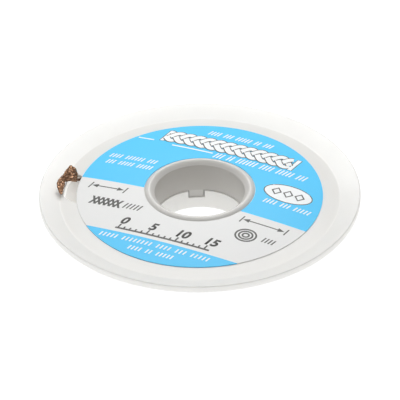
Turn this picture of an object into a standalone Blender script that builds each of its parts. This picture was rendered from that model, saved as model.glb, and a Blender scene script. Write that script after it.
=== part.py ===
"""Desoldering braid on its bobbin: a flat two-part plastic case that holds a coil of woven copper braid.

The case lies flat. The origin is on the hub's axis at the underside of the foot, +Z runs up the hub,
and the braid's free end comes up through the outlet on the -X side. Units are metres.
"""

import math

import bmesh
import bpy
from mathutils import Vector

# Clearances
FIT_GAP = 0.0003            # between pieces that fit together or rest on each other
LABEL_GAP = 0.0001          # the sticker's layer of glue
COIL_ROOM = 0.0005          # round the coil, at the floor of the pan

# Braid
BRAID_WIDTH = 0.0025        # width of the flat braid, so also the height of the coil
BRAID_THICKNESS = 0.0007    # radial pitch of the coil's turns
TURN_RELIEF = 0.00015       # depth of the groove between two turns on the coil's ends
COIL_DEPTH = 0.0109         # radial depth of all the turns

# Hub, part of the case top
BORE_RADIUS = 0.0073
HUB_WALL = 0.0013
HUB_RAISE = 0.0003          # the hub's end stands this far above the underside of the case base
LIP_RADIUS = 0.00895        # outside of the rounded lip round the bore
LIP_RISE = 0.0004           # crest of the lip above the dome beside it
KEY_WIDTH = 0.0026          # tongues under the hub that stop the two halves turning
KEY_LENGTH = 0.0016
KEY_INSET = 0.0001          # the tongue's faces lie this far inside the hub's wall
KEY_AZIMUTHS = (94.0, 274.0)

# Top flange
TOP_THICKNESS = 0.0006
DOME_CURVE = 0.178          # radius of curvature of the gently domed top
RING_WIDTH = 0.00275        # bare ring between the label's edge and the valley
VALLEY_ROUND = 0.0004       # half the width of the rounded groove there
BRIM_WIDTH = 0.00335        # from the valley out to the rim
BRIM_RISE = 0.00116         # rim above the valley
BRIM_THICKNESS = 0.0005
RIM_EDGE = 0.0011           # height of the rim's edge, which is turned down

# Outlet for the braid, a window beside the label's edge whose two ends slant the same way, the near one more
OUTLET_AZIMUTH = 172.3
OUTLET_WIDTH = 0.0022       # radial
OUTLET_LENGTH = 0.0068      # round the ring
OUTLET_SLANT = 0.0022       # how far its outer edge lies behind the inner one at the near end
FAR_SLANT = 0.0008          # the same at the far end, where the braid comes up
OUTLET_BULGE = 0.0002       # roundness of the slanted ends

# Case base
FOOT_HEIGHT = 0.00344       # floor of the base above the ground
FOOT_BORE_RADIUS = 0.0071
SOCKET_WALL = 0.0012        # wall round the hub's end
FOOT_BEVEL = 0.0003
BASE_THICKNESS = 0.0006
BASE_EDGE = 0.0005          # bevel of the pan's lower edge
BASE_WALL = 0.0006
BASE_INSET = 0.00015        # the pan's upper edge lies this far inside the valley

# Label
LABEL_OVERHANG = 0.0002     # how far the label reaches past the coil below it
LABEL_THICKNESS = 0.0001

# Free end of the braid
END_THICKNESS = 0.0005
END_RISE = 0.0019           # fold above the flange
END_REACH = 0.0015          # how far the tail hangs out past the middle of the window

# Facets
CASE_SEGMENTS = 80
COIL_SEGMENTS = 32
DOME_STEPS = 4
LIP_STEPS = 5
VALLEY_STEPS = 2
OUTLET_STEPS = 12
END_STATIONS = 51
END_SIDES = 8

# Heights above the ground that several pieces share
FLOOR_TOP = FOOT_HEIGHT + BASE_THICKNESS
COIL_BOTTOM = FLOOR_TOP + FIT_GAP
COIL_TOP = COIL_BOTTOM + BRAID_WIDTH
HUB_BOTTOM = FOOT_HEIGHT + HUB_RAISE
LEDGE = HUB_BOTTOM - FIT_GAP

# Radii that follow from each other, from the bore outwards
HUB_RADIUS = BORE_RADIUS + HUB_WALL
SOCKET_RADIUS = HUB_RADIUS + FIT_GAP
FOOT_RADIUS = SOCKET_RADIUS + SOCKET_WALL
COIL_BORE = HUB_RADIUS + FIT_GAP
COIL_RADIUS = COIL_BORE + COIL_DEPTH
PAN_RADIUS = COIL_RADIUS + COIL_ROOM
LABEL_RADIUS = COIL_RADIUS + LABEL_OVERHANG
VALLEY_RADIUS = LABEL_RADIUS + RING_WIDTH
BRIM_RADIUS = VALLEY_RADIUS + BRIM_WIDTH


def sag(radius):
    """Fall of the dome from its apex at a radius."""
    return DOME_CURVE - math.sqrt(DOME_CURVE**2 - radius**2)


def dome(radius):
    """Height of the top flange's upper side, which clears the coil's outer turn by the fit gap."""
    return COIL_TOP + FIT_GAP + TOP_THICKNESS + sag(COIL_RADIUS) - sag(radius)


def polar(radius, degrees, height=0.0):
    """Point at a radius and an azimuth."""
    angle = math.radians(degrees)
    return Vector((radius * math.cos(angle), radius * math.sin(angle), height))


def clear_scene():
    """Remove every object."""
    for thing in list(bpy.data.objects):
        bpy.data.objects.remove(thing, do_unlink=True)


def material(name, colour, roughness, metallic=0.0):
    """Plain Principled BSDF material."""
    result = bpy.data.materials.new(name)
    result.use_nodes = True
    shader = result.node_tree.nodes["Principled BSDF"]
    shader.inputs["Base Color"].default_value = (*colour, 1.0)
    shader.inputs["Roughness"].default_value = roughness
    shader.inputs["Metallic"].default_value = metallic
    result.diffuse_color = (*colour, 1.0)
    return result


def add_object(name, bm, look):
    """Turn a closed bmesh into a named object with its faces pointing out."""
    bmesh.ops.recalc_face_normals(bm, faces=bm.faces)
    mesh = bpy.data.meshes.new(name)
    bm.to_mesh(mesh)
    bm.free()
    mesh.shade_smooth()
    mesh.set_sharp_from_angle(angle=math.radians(30))
    if look is not None:
        mesh.materials.append(look)
    thing = bpy.data.objects.new(name, mesh)
    bpy.context.scene.collection.objects.link(thing)
    return thing


def turned(name, profile, segments, look):
    """Solid of revolution from a closed outline of (radius, height) points."""
    bm = bmesh.new()
    corners = [bm.verts.new((radius, 0.0, height)) for radius, height in profile]
    edges = [bm.edges.new(pair) for pair in zip(corners, corners[1:] + corners[:1])]
    bmesh.ops.spin(bm, geom=corners + edges, axis=(0, 0, 1), cent=(0, 0, 0), angle=math.tau,
                   steps=segments, use_merge=True)
    return add_object(name, bm, look)


def prism(name, outline, bottom, top):
    """Upright cutter or block with a flat outline of (x, y) points."""
    bm = bmesh.new()
    face = bm.faces.new([bm.verts.new((x, y, bottom)) for x, y in outline])
    raised = bmesh.ops.extrude_face_region(bm, geom=[face])["geom"]
    moved = [item for item in raised if isinstance(item, bmesh.types.BMVert)]
    bmesh.ops.translate(bm, verts=moved, vec=(0, 0, top - bottom))
    thing = add_object(name, bm, None)
    thing.hide_render = True
    thing.display_type = 'WIRE'
    return thing


def combine(thing, operation, tool):
    """Boolean of an object with a hidden tool."""
    step = thing.modifiers.new(tool.name, 'BOOLEAN')
    step.operation = operation
    step.solver = 'EXACT'
    step.object = tool


def sector(inner, outer, azimuth, width):
    """Outline of a block with parallel flanks that follows the hub's wall."""
    def arc(radius):
        half = math.degrees(math.asin(width / (2 * radius)))
        return [polar(radius, azimuth + half * share)[:2] for share in (-1.0, 0.0, 1.0)]
    return arc(outer) + list(reversed(arc(inner)))


def lip_profile():
    """Half-round lip from the dome over the crest to the bore."""
    half = (LIP_RADIUS - BORE_RADIUS) / 2
    centre = dome(LIP_RADIUS) + LIP_RISE - half
    foot = math.asin(min(1.0, max(-1.0, (dome(LIP_RADIUS) - centre) / half)))
    turns = [foot + (math.pi - foot) * step / LIP_STEPS for step in range(LIP_STEPS + 1)]
    return [(BORE_RADIUS + half + half * math.cos(turn), centre + half * math.sin(turn)) for turn in turns]


def valley_profile(lowered):
    """Rounded groove between the dome and the brim, as a curve with the two slopes as tangents."""
    inner = Vector((VALLEY_RADIUS - VALLEY_ROUND, dome(VALLEY_RADIUS - VALLEY_ROUND)))
    bottom = Vector((VALLEY_RADIUS, dome(VALLEY_RADIUS)))
    outer = bottom + Vector((VALLEY_ROUND, VALLEY_ROUND * BRIM_RISE / BRIM_WIDTH))
    points = []
    for step in range(VALLEY_STEPS + 1):
        share = step / VALLEY_STEPS
        point = inner.lerp(bottom, share).lerp(bottom.lerp(outer, share), share)
        points.append((point.x, point.y - lowered))
    return points


def dome_profile(inner, outer, lowered):
    """Points of the dome from an inner to an outer radius, moved down."""
    radii = [inner + (outer - inner) * step / DOME_STEPS for step in range(DOME_STEPS + 1)]
    return [(radius, dome(radius) - lowered) for radius in radii]


def case_top_profile():
    """Hub tube, lip, dome and brim as one outline, counted from the hub's foot outwards and back."""
    rim = dome(VALLEY_RADIUS) + BRIM_RISE
    half = BRIM_THICKNESS / 2
    upper = dome_profile(LIP_RADIUS, VALLEY_RADIUS - VALLEY_ROUND, 0.0)
    under = dome_profile(HUB_RADIUS, VALLEY_RADIUS - VALLEY_ROUND, TOP_THICKNESS)
    inside = BRIM_RADIUS - BRIM_THICKNESS
    under_rim = rim - BRIM_THICKNESS * (1 + BRIM_RISE / BRIM_WIDTH)
    edge = [(BRIM_RADIUS - half, rim), (BRIM_RADIUS, rim - half), (BRIM_RADIUS, rim - RIM_EDGE),
            (inside, rim - RIM_EDGE), (inside, under_rim)]
    lip = lip_profile()
    outline = [(HUB_RADIUS, HUB_BOTTOM), (BORE_RADIUS, HUB_BOTTOM)]
    outline += list(reversed(lip[1:]))
    outline += upper[:-1] + valley_profile(0.0) + edge
    outline += list(reversed(valley_profile(TOP_THICKNESS))) + list(reversed(under[:-1]))
    return outline


def outlet_arc(share, side):
    """Point of the window at a share of its radial width, on the middle line or near one end."""
    radius = LABEL_RADIUS + LABEL_GAP + OUTLET_WIDTH * share
    slant = (OUTLET_SLANT + FAR_SLANT + side * (OUTLET_SLANT - FAR_SLANT)) / 2
    along = side * OUTLET_LENGTH / 2 - slant * (share - 0.5)
    return polar(radius, OUTLET_AZIMUTH + math.degrees(along / radius))


def outlet_outline():
    """Window between two arcs, the inner one beside the label's edge, with slanted and rounded ends."""
    sides = [2 * step / OUTLET_STEPS - 1 for step in range(OUTLET_STEPS + 1)]
    points = [outlet_arc(1.0, side) for side in sides]
    points.append(outlet_arc(0.5, 1 + 2 * OUTLET_BULGE / OUTLET_LENGTH))
    points += [outlet_arc(0.0, -side) for side in sides]
    points.append(outlet_arc(0.5, -1 - 2 * OUTLET_BULGE / OUTLET_LENGTH))
    return [point[:2] for point in points]


def make_case_top(look):
    """Top flange with the hub tube, its two tongues and the outlet."""
    top = turned("case_top", case_top_profile(), CASE_SEGMENTS, look)
    combine(top, 'DIFFERENCE', prism("outlet_cutter", outlet_outline(), COIL_TOP, dome(0.0) + LIP_RISE))
    for number, azimuth in enumerate(KEY_AZIMUTHS):
        outline = sector(BORE_RADIUS + KEY_INSET, HUB_RADIUS - KEY_INSET, azimuth, KEY_WIDTH)
        bottom = HUB_BOTTOM - KEY_LENGTH
        combine(top, 'UNION', prism(f"key_block_{number}", outline, bottom, HUB_BOTTOM + HUB_WALL))
    return top


def make_case_base(look):
    """Shallow pan that holds the coil, with a socket for the hub and the foot tube under it."""
    outer_top = VALLEY_RADIUS - BASE_INSET
    wall_top = dome(outer_top) - TOP_THICKNESS - FIT_GAP
    outer_bottom = PAN_RADIUS + BASE_WALL
    profile = [
        (FOOT_BORE_RADIUS, LEDGE),
        (FOOT_BORE_RADIUS, 0.0),
        (FOOT_RADIUS - FOOT_BEVEL, 0.0),
        (FOOT_RADIUS, FOOT_BEVEL),
        (FOOT_RADIUS, FOOT_HEIGHT),
        (outer_bottom - BASE_EDGE, FOOT_HEIGHT),
        (outer_bottom, FOOT_HEIGHT + BASE_EDGE),
        (outer_top, wall_top),
        (outer_top - BASE_WALL, wall_top),
        (PAN_RADIUS, FLOOR_TOP),
        (SOCKET_RADIUS, FLOOR_TOP),
        (SOCKET_RADIUS, LEDGE),
    ]
    base = turned("case_base", profile, CASE_SEGMENTS, look)
    for number, azimuth in enumerate(KEY_AZIMUTHS):
        inner = FOOT_BORE_RADIUS - FIT_GAP
        notch = sector(inner, SOCKET_RADIUS - KEY_INSET, azimuth, KEY_WIDTH + 2 * FIT_GAP)
        bottom = HUB_BOTTOM - KEY_LENGTH - FIT_GAP
        combine(base, 'DIFFERENCE', prism(f"notch_cutter_{number}", notch, bottom, FLOOR_TOP))
    return base


def make_label(look):
    """Ring-shaped sticker that follows the dome."""
    inner = LIP_RADIUS + LABEL_GAP
    lower = dome_profile(inner, LABEL_RADIUS, -LABEL_GAP)
    upper = dome_profile(inner, LABEL_RADIUS, -LABEL_GAP - LABEL_THICKNESS)
    return turned("label", lower + list(reversed(upper)), CASE_SEGMENTS, look)


def make_braid_coil(look):
    """Wound braid as one ring with its bore, and with a groove between each two turns on both ends."""
    turns = max(1, round(COIL_DEPTH / BRAID_THICKNESS))
    pitch = COIL_DEPTH / turns
    top = []
    bottom = []
    for turn in range(turns):
        start = COIL_BORE + pitch * turn
        top += [(start, COIL_TOP - TURN_RELIEF), (start + pitch / 2, COIL_TOP)]
        bottom += [(start, COIL_BOTTOM + TURN_RELIEF), (start + pitch / 2, COIL_BOTTOM)]
    top.append((COIL_RADIUS, COIL_TOP - TURN_RELIEF))
    bottom.append((COIL_RADIUS, COIL_BOTTOM + TURN_RELIEF))
    return turned("braid_coil", top + list(reversed(bottom)), COIL_SEGMENTS, look)


def route():
    """Stations of the free end: place, half width, and tilt and yaw of its width in degrees.

    Each stop gives its reach out of the window's middle line as a share of the tail's, its azimuth, its
    height as a share of the fold's, and its half width as a share of the braid's width.
    """
    surface = dome(LABEL_RADIUS)
    window = LABEL_RADIUS + LABEL_GAP + OUTLET_WIDTH / 2
    beside_coil = COIL_RADIUS + FIT_GAP + END_THICKNESS / 2
    upright = COIL_BOTTOM + BRAID_WIDTH / 2 + FIT_GAP
    hidden = [
        (*polar(beside_coil, 145.0, upright), 0.36 * BRAID_WIDTH, 90.0, 0.0),
        (*polar(beside_coil, 151.0, upright), 0.32 * BRAID_WIDTH, 80.0, 0.0),
    ]
    stops = (
        (-0.27, 156.0, -0.84, 0.20, 50.0, -25.0),
        (-0.12, 159.8, -0.67, 0.20, 15.0, -20.0),
        (-0.07, 162.3, -0.66, 0.20, 0.0, -18.0),
        (-0.04, 164.1, -0.50, 0.22, 0.0, -16.0),
        (0.00, 164.9, -0.15, 0.25, 0.0, -16.0),
        (0.18, 165.4, 0.19, 0.32, -4.0, -16.0),
        (0.25, 165.0, 0.54, 0.28, -6.0, -10.0),
        (0.19, 165.1, 1.00, 0.21, -25.0, -25.0),
        (0.18, 168.2, 0.96, 0.31, -35.0, -13.0),
        (0.32, 170.4, 0.84, 0.34, -39.0, -21.0),
        (0.63, 171.7, 0.77, 0.24, -42.0, -3.0),
        (0.89, 172.8, 0.69, 0.20, -31.0, 15.0),
        (1.00, 174.7, 0.54, 0.25, -16.0, 14.0),
        (1.00, 176.5, 0.39, 0.19, -16.0, 11.0),
        (0.96, 177.9, 0.25, 0.11, -17.0, 20.0),
        (0.88, 179.4, 0.16, 0.03, -9.0, 11.0),
    )
    shown = []
    for reach, azimuth, rise, width, tilt, yaw in stops:
        place = polar(window + reach * END_REACH, azimuth, surface + rise * END_RISE)
        shown.append((*place, width * BRAID_WIDTH, tilt, yaw))
    return hidden + shown


def smooth(stops, share):
    """Point on a Catmull-Rom curve through the stops, each a tuple of numbers."""
    spot = share * (len(stops) - 1)
    index = min(int(spot), len(stops) - 2)
    t = spot - index
    before, start, end, after = (stops[min(max(index + step, 0), len(stops) - 1)] for step in (-1, 0, 1, 2))
    values = []
    for a, b, c, d in zip(before, start, end, after):
        values.append(b + 0.5 * t * (c - a + t * (2 * a - 5 * b + 4 * c - d + t * (3 * (b - c) + d - a))))
    return values


def rounded(value):
    """Coordinate of a squared-off ellipse with half axes of one."""
    return math.copysign(math.sqrt(abs(value)), value)


def make_braid_end(look):
    """Free end of the braid: a flat ribbon that runs up through the outlet and folds over."""
    stops = route()
    bm = bmesh.new()
    rings = []
    for station in range(END_STATIONS + 1):
        share = station / END_STATIONS
        x, y, z, half, tilt, yaw = smooth(stops, share)
        ahead = Vector(smooth(stops, min(1.0, share + 0.01))[:3])
        behind = Vector(smooth(stops, max(0.0, share - 0.01))[:3])
        along = (ahead - behind).normalized()
        tilt, yaw = math.radians(tilt), math.radians(yaw)
        wide = Vector((math.cos(tilt) * math.cos(yaw), math.sin(yaw) * math.cos(tilt), math.sin(tilt)))
        wide = (wide - along * wide.dot(along)).normalized()
        thick = along.cross(wide)
        ring = []
        for corner in range(END_SIDES):
            spin = math.tau * (corner + 0.5) / END_SIDES
            across = half * rounded(math.cos(spin))
            up = END_THICKNESS / 2 * rounded(math.sin(spin))
            ring.append(bm.verts.new(Vector((x, y, z)) + wide * across + thick * up))
        rings.append(ring)
    for first, second in zip(rings, rings[1:]):
        for corner in range(END_SIDES):
            following = (corner + 1) % END_SIDES
            bm.faces.new((first[corner], first[following], second[following], second[corner]))
    bm.faces.new(rings[0])
    bm.faces.new(rings[-1])
    return add_object("braid_end", bm, look)


def main():
    clear_scene()
    plastic = material("translucent_plastic", (0.84, 0.84, 0.81), 0.35)
    paper = material("label_print", (0.13, 0.62, 0.98), 0.4)
    copper = material("copper_braid", (0.55, 0.24, 0.12), 0.4, 1.0)
    make_case_top(plastic)
    make_case_base(plastic)
    make_label(paper)
    make_braid_coil(copper)
    make_braid_end(copper)


main()
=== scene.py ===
"""Desoldering braid on its bobbin: a milky two-part case, its printed label and the copper braid.

The pieces dress the packed model in its own frame: the hub's axis is Z, the ground is Z = 0, in metres.
"""

import math
import random
from collections import namedtuple

import bmesh
import bpy
from mathutils import Matrix, Vector
from mathutils.kdtree import KDTree


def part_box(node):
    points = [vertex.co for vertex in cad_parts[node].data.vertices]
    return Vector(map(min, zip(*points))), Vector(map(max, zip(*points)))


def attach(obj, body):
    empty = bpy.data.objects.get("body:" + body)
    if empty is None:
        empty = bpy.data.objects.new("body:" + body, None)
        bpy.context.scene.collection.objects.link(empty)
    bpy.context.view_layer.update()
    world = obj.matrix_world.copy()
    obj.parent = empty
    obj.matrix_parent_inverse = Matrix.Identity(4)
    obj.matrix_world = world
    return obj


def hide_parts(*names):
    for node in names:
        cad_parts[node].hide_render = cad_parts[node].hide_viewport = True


bl_info = {
    "name": "Desoldering Braid Bobbin",
    "version": (1, 0, 0),
    "blender": (4, 5, 0),
    "location": "3D View > Sidebar > Bobbin",
    "description": "Builds a bobbin of desoldering braid piece by piece, with its looks and its stage",
    "category": "Add Mesh",
}

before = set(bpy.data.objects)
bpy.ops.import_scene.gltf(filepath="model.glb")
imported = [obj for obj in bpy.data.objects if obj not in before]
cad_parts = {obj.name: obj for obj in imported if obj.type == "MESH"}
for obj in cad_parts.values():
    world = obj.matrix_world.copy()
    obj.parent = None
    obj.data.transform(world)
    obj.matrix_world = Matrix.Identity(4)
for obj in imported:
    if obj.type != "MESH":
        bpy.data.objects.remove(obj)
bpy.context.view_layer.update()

BODY = "root"
MM = 0.001

CASE_STEPS = 288            # facets round the case
LABEL_STEPS = 180
LABEL_ROWS = 12
DOME_ROWS = 8               # rows of faces from the lip to the window
LIP_STEPS = 8
LIP_FALL = 1.4              # power with which the lip falls towards the bore
VALLEY_STEPS = 6
WINDOW_ROWS = 8             # rows of faces across the window
WINDOW_BLEND = 16           # columns beside the window over which its slant fades
WINDOW_CREASE = 1.0         # edges of the window turn by more than this angle
WINDOW_REACH = 0.4          # they lie nearer to its middle than this angle
LEVEL = 0.5                 # a flange's face has at least this much of its normal upright
CREASE = math.radians(35)   # edges sharper than this stay sharp
PAN_GLOW = 0.40             # painted light: a glow of the pan's and the foot's walls for the light that their milky plastic lets through
EDGE_GLOW = 0.2             # painted light: a glow at the edge of the rim
CLOSE = 1e-7                # points nearer than this are one

# Zones say where shade or light is painted on the plastic.
# Part of a piece by its radii: where a change starts, where it is full, how strong it is, and whether it is
# stronger high up and towards -X.
Zone = namedtuple("Zone", "start full strength varied", defaults=(False,))


# Values that a user would change

def length(name, description, default):
    """Length property in metres."""
    return bpy.props.FloatProperty(name=name, description=description, default=default, min=0.0,
                                   precision=5, unit="LENGTH", subtype="DISTANCE")


def turn(name, description, degrees):
    """Angle property, given in degrees."""
    return bpy.props.FloatProperty(name=name, description=description, default=math.radians(degrees),
                                   unit="ROTATION", subtype="ANGLE")


def share(name, description, default):
    """Number from 0 to 1."""
    return bpy.props.FloatProperty(name=name, description=description, default=default, min=0.0, max=1.0,
                                   subtype="FACTOR")


def colour(name, description, default):
    """Linear colour."""
    return bpy.props.FloatVectorProperty(name=name, description=description, default=default, size=3,
                                         min=0.0, max=1.0, subtype="COLOR")


class CaseSizes(bpy.types.PropertyGroup):
    """Sizes of the two plastic halves."""

    bore_radius: length("Bore radius", "Inside of the hub", 0.0073)
    hub_wall: length("Hub wall", "Wall of the hub tube", 0.0013)
    hub_bottom: length("Hub end", "Height of the hub's lower end", 0.00346)
    lip_radius: length("Lip radius", "Outside of the rounded lip round the bore", 0.00895)
    lip_rise: length("Lip rise", "Crest of the lip above the dome", 0.00045)
    lip_round: length("Lip rounding", "Rounding of the lip's outer side", 0.00095)
    lip_drop: length("Lip drop", "Fall of the lip from its crest to the bore", 0.0008)
    tongue_width: length("Tongue width", "Width of the tongues under the hub", 0.0026)
    tongue_length: length("Tongue length", "How far the tongues reach below the hub", 0.00132)
    tongue_azimuth: turn("Tongue azimuth", "Where the first of the two tongues is", 94.375)
    dome_apex: length("Dome apex", "Height of the dome's centre, were it not bored", 0.008845)
    dome_curve: length("Dome curve", "Radius of curvature of the dome", 0.178)
    top_thickness: length("Flange thickness", "Wall of the top flange", 0.0006)
    valley_radius: length("Valley radius", "Groove between the dome and the brim", 0.02275)
    valley_round: length("Valley rounding", "Half the width of the groove's rounding", 0.00015)
    rim_radius: length("Rim radius", "Outside of the case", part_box("case_top")[1].x)
    brim_rise: length("Brim rise", "Rim above the valley", 0.00116)
    brim_thickness: length("Brim thickness", "Wall of the brim", 0.0005)
    rim_edge: length("Rim edge", "Height of the rim's turned-down edge", 0.0011)
    foot_bore: length("Foot bore", "Inside of the foot tube", 0.0071)
    foot_radius: length("Foot radius", "Outside of the foot tube", 0.0101)
    foot_height: length("Foot height", "Underside of the pan above the ground", 0.00344)
    socket_radius: length("Socket radius", "Room round the hub's end", 0.0089)
    ledge: length("Ledge height", "Ledge under the hub's end", 0.00344)
    pan_thickness: length("Pan thickness", "Floor and wall of the pan", 0.0006)
    pan_radius: length("Pan radius", "Inside of the pan at its floor", 0.0203)
    pan_top_radius: length("Pan mouth radius", "Outside of the pan's upper edge", 0.0226)


class OutletSizes(bpy.types.PropertyGroup):
    """Sizes of the window that lets the braid out."""

    azimuth: turn("Azimuth", "Middle of the window", 172.3)
    inner_radius: length("Inner radius", "Edge of the window beside the label", 0.0201)
    width: length("Width", "Radial width", 0.0022)
    extent: length("Length", "Length round the ring", 0.0068)
    slant: length("Near slant", "How far the outer edge lies behind the inner one at the near end", 0.0022)
    far_slant: length("Far slant", "The same at the far end", 0.0008)
    bulge: length("Rounding", "How far the slanted ends are bowed", 0.0003)
    edge: length("Edge bevel", "Broken edge round the window", 0.00006)


class LabelSizes(bpy.types.PropertyGroup):
    """Sizes of the label and of its print."""

    inner_radius: length("Inner radius", "Inside of the label", 0.00905)
    outer_radius: length("Outer radius", "Outside of the label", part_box("label")[1].x)
    thickness: length("Thickness", "Paper and glue above the dome", 0.00012)
    print_turn: turn("Print turn", "How far the print is turned clockwise", 24.5)
    ink: length("Ink", "Thickness of the ink", 0.000012)


class BraidSizes(bpy.types.PropertyGroup):
    """Sizes of the woven braid."""

    width: length("Width", "Width of the flat braid", 0.0025)
    pitch: length("Turn pitch", "Distance between two turns of the coil", 0.00068)
    coil_bore: length("Coil bore", "Inside of the coil", 0.0089)
    coil_radius: length("Coil radius", "Outside of the coil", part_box("braid_coil")[1].x)
    coil_bottom: length("Coil bottom", "Underside of the coil", 0.00434)
    end_thickness: length("End thickness", "Thickness of the free end", 0.0005)
    wire: length("Wire", "Diameter of one wire", 0.00009)
    lay: length("Lay", "Length in which a strand goes once round the braid", 0.0058)


class CaseColours(bpy.types.PropertyGroup):
    """Colours and finishes."""

    plastic: colour("Plastic", "Milky plastic", (0.88, 0.875, 0.85))
    clearness: share("Clearness", "How much light the plastic lets through", 0.12)
    # painted shade: the plastic's colour where shade is painted, partly standing in for copper seen through it
    behind: colour("Shade", "Plastic with copper close behind it", (0.40, 0.37, 0.33))
    blue: colour("Label blue", "Printed zones of the label", (0.055, 0.57, 0.96))
    paper: colour("Label white", "Unprinted band of the label", (0.79, 0.79, 0.78))
    white_ink: colour("White ink", "Light print", (0.92, 0.94, 0.95))
    dark_ink: colour("Dark ink", "Dark print", (0.085, 0.085, 0.078))
    copper: colour("Copper", "Bright copper", (0.38, 0.22, 0.135))
    tarnish: colour("Tarnish", "Dulled copper", (0.13, 0.06, 0.037))
    floor: colour("Floor", "Plain floor", (0.10, 0.10, 0.10))


# Shader trees

class Value:
    """Output of a node. Arithmetic on it adds Math nodes."""

    def __init__(self, look, socket):
        self.look = look
        self.socket = socket

    def math(self, operation, *numbers):
        return self.look.node("Math", {"operation": operation}, *numbers)

    def __add__(self, other):
        return self.math("ADD", self, other)

    def __sub__(self, other):
        return self.math("SUBTRACT", self, other)

    def __mul__(self, other):
        return self.math("MULTIPLY", self, other)

    def __gt__(self, other):
        return self.math("GREATER_THAN", self, other)

    def __lt__(self, other):
        return self.math("LESS_THAN", self, other)

    __radd__ = __add__


class Look:
    """Material with a Principled shader."""

    def __init__(self, name):
        self.material = bpy.data.materials.new(name)
        self.material.use_nodes = True
        self.tree = self.material.node_tree
        self.shader = self.tree.nodes["Principled BSDF"]

    def feed(self, socket, value):
        """Give a socket a value or a link."""
        if isinstance(value, Value):
            self.tree.links.new(value.socket, socket)
        elif hasattr(value, "__len__") and len(value) == 3 and socket.type == "RGBA":
            socket.default_value = (*value, 1.0)
        else:
            socket.default_value = value

    def node(self, kind, settings, *inputs, output=0, **named):
        """Add a node: its settings first, then its sockets by number or by name."""
        made = self.tree.nodes.new("ShaderNode" + kind)
        for key, value in settings.items():
            setattr(made, key, value)
        for number, value in enumerate(inputs):
            self.feed(made.inputs[number], value)
        for key, value in named.items():
            self.feed(made.inputs[key], value)
        return Value(self, made.outputs[output])

    def set(self, **named):
        """Feed sockets of the Principled shader, with _ for a space in their names."""
        for key, value in named.items():
            self.feed(self.shader.inputs[key.replace("_", " ")], value)

    def place(self):
        """Object coordinates."""
        return self.node("TexCoord", {}, output="Object")

    def axes(self):
        """Object coordinates one by one."""
        split = self.node("SeparateXYZ", {}, self.place()).socket.node
        return [Value(self, socket) for socket in split.outputs]

    def noise(self, place, size, detail=3.0):
        """Noise whose blotches have about this size in metres."""
        return self.node("TexNoise", {}, Vector=place, Scale=1.0 / size, Detail=detail)

    def mix(self, factor, first, second):
        """Colour between two colours."""
        made = self.tree.nodes.new("ShaderNodeMix")
        made.data_type = "RGBA"
        self.feed(made.inputs[0], factor)
        self.feed(made.inputs[6], first)
        self.feed(made.inputs[7], second)
        return Value(self, made.outputs[2])

    def ramp(self, value, start, full, rise=1.0, least=0.0):
        """Smooth rise from the least at the start to its sum with the rise where it is full."""
        return self.node("MapRange", {"interpolation_type": "SMOOTHSTEP"},
                         value, start, full, least, least + rise)

    def radius(self):
        """Distance from the hub's axis."""
        flat = self.node("VectorMath", {"operation": "MULTIPLY"}, self.place(), (1.0, 1.0, 0.0))
        return self.node("VectorMath", {"operation": "LENGTH"}, flat, output="Value")

    def glow(self, strength, tone, *zones):
        """Painted light: the plastic glows in the zones, standing in for light that comes through it."""
        lit = 0.0
        for zone in zones:
            lit = lit + self.ramp(self.radius(), zone.start, zone.full, zone.strength)
        self.set(Emission_Color=self.mix(lit, Vector((0.0, 0.0, 0.0)), Vector(tone)),
                 Emission_Strength=strength)

    def bump(self, height, depth, strength):
        """Normal of a relief of this depth in metres."""
        return self.node("Bump", {}, Height=height, Distance=depth, Strength=strength)


def plastic_look(name, colours, *zones):
    """Milky moulded plastic: cloudy, with a faint orange-peel surface, and darker in the zones by painted
    shade.
    """
    look = Look(name)
    place = look.place()
    cloud = look.noise(place, 0.004)
    peel = look.noise(place, 0.0007, 2.0)
    tone = Vector(colours.plastic)
    radius = look.radius()
    across, _, height = look.axes()
    # painted shade: in the varied zones it grows high up and towards -X, as light falls unevenly
    by_height = look.ramp(height, 0.001, 0.0085, 0.35, 0.65)
    by_side = look.ramp(across, 0.0065, -0.001, 0.45, 0.55)
    uneven = by_height * by_side
    shade = 0.0
    for zone in zones:
        part = look.ramp(radius, zone.start, zone.full, zone.strength)
        shade = shade + (part * uneven if zone.varied else part)
    body = look.mix(shade, look.mix(cloud, tone * 0.97, tone), Vector(colours.behind))
    look.set(Base_Color=body, Roughness=0.42 + cloud * 0.1, Normal=look.bump(peel, 0.00002, 0.4), IOR=1.45,
             Transmission_Weight=colours.clearness, Subsurface_Weight=0.3, Subsurface_Scale=0.0008,
             Subsurface_Radius=(1.0, 0.97, 0.9), Coat_Weight=0.35, Coat_Roughness=0.18)
    return look


def label_look(colours, sizes):
    """Satin paper: two blue zones with a white band between them."""
    look = Look("label_paper")
    x, y, _ = look.axes()
    across = x * math.sin(sizes.print_turn) + y * math.cos(sizes.print_turn)
    blue = (across > UPPER_ZONE) + (across < LOWER_ZONE)
    fibre = look.noise(look.place(), 0.0004)
    tone = look.mix(blue, Vector(colours.paper), Vector(colours.blue))
    look.set(Base_Color=look.mix(fibre * 0.06, tone, Vector((0.5, 0.6, 0.65))),
             Roughness=0.42 + fibre * 0.12, Normal=look.bump(fibre, 0.000008, 0.5), Specular_IOR_Level=0.4)
    return look.material


def ink_look(name, tone):
    """Printed ink, a little uneven."""
    look = Look(name)
    spot = look.noise(look.place(), 0.0003)
    tone = Vector(tone)
    look.set(Base_Color=look.mix(spot, tone * 0.9, tone), Roughness=0.4 + spot * 0.15,
             Specular_IOR_Level=0.4)
    return look.material


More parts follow.
